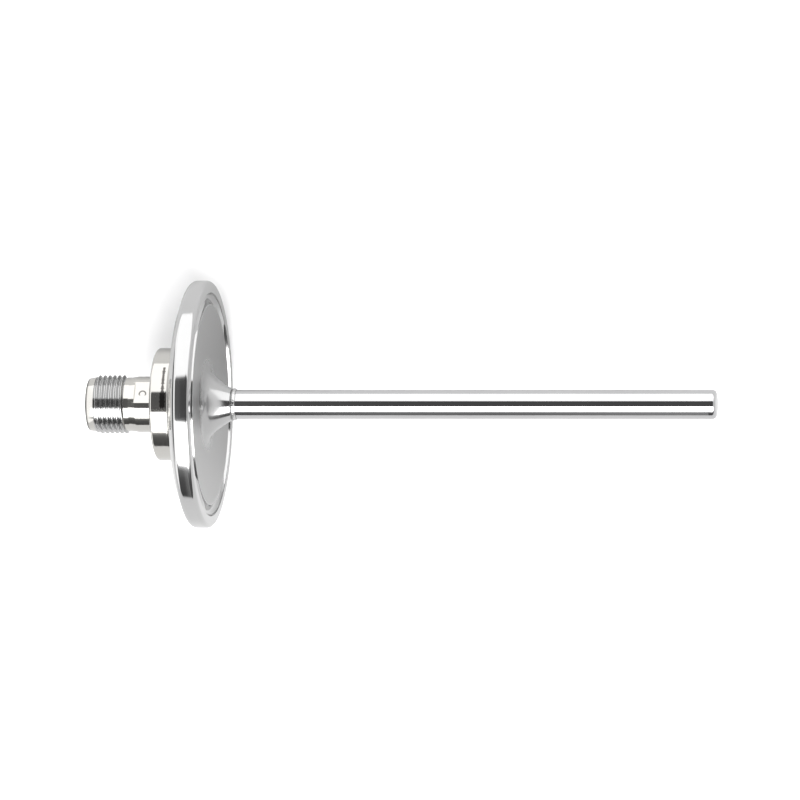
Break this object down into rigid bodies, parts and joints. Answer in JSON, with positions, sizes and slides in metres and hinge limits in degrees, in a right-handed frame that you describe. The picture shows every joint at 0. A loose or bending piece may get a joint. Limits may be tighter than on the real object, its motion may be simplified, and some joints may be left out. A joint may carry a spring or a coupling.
{
  "type": "rtd probe with head",
  "caption": "Slender temperature probe on a round hygienic clamp flange with a trumpet-shaped nose and a small threaded connector head behind it.",
  "frame": {"origin": "centre of the flange's sealing face, on the axis that every turned piece shares", "axes": "+X along the probe towards its tip, -X towards the connector; +Z passes through the connector's coding key"},
  "size_m": [0.1293, 0.0506, 0.0506],
  "materials": {
    "polished_flange_steel": "mirror-polished stainless steel",
    "turned_head_steel": "fine turned stainless steel, slightly warm",
    "sheath_steel": "polished stainless steel tube",
    "weld_steel": "bright orbital weld bead",
    "carrier_plastic": "moulded glass-filled plastic",
    "contact_gold": "gold-plated contact",
    "seal_rubber": "moulded rubber",
    "potting_resin": "cast resin",
    "insulator_ceramic": "fired ceramic",
    "element_ceramic": "fired ceramic",
    "bedding_cement": "rough ceramic cement",
    "lead_metal": "drawn nickel wire",
    "sleeve_plastic": "shrunk plastic"
  },
  "bodies": {
    "root": {"connector_shell": "turned_head_steel", "head_collar": "turned_head_steel", "clamp_flange": "polished_flange_steel", "weld_ring": "weld_steel", "probe_sheath": "sheath_steel", "tip_cap": "sheath_steel", "contact_carrier": "carrier_plastic", "carrier_seal": "seal_rubber", "potting": "potting_resin", "bore_insulator": "insulator_ceramic", "rtd_element": "element_ceramic", "tip_cement": "bedding_cement", "contact_pin_1": "contact_gold", "lead_wire_1": "lead_metal", "lead_sleeve_1": "sleeve_plastic", "contact_pin_2": "contact_gold", "lead_wire_2": "lead_metal", "lead_sleeve_2": "sleeve_plastic", "contact_pin_3": "contact_gold", "lead_wire_3": "lead_metal", "lead_sleeve_3": "sleeve_plastic", "contact_pin_4": "contact_gold", "lead_wire_4": "lead_metal", "lead_sleeve_4": "sleeve_plastic"}
  },
  "joints": []
}
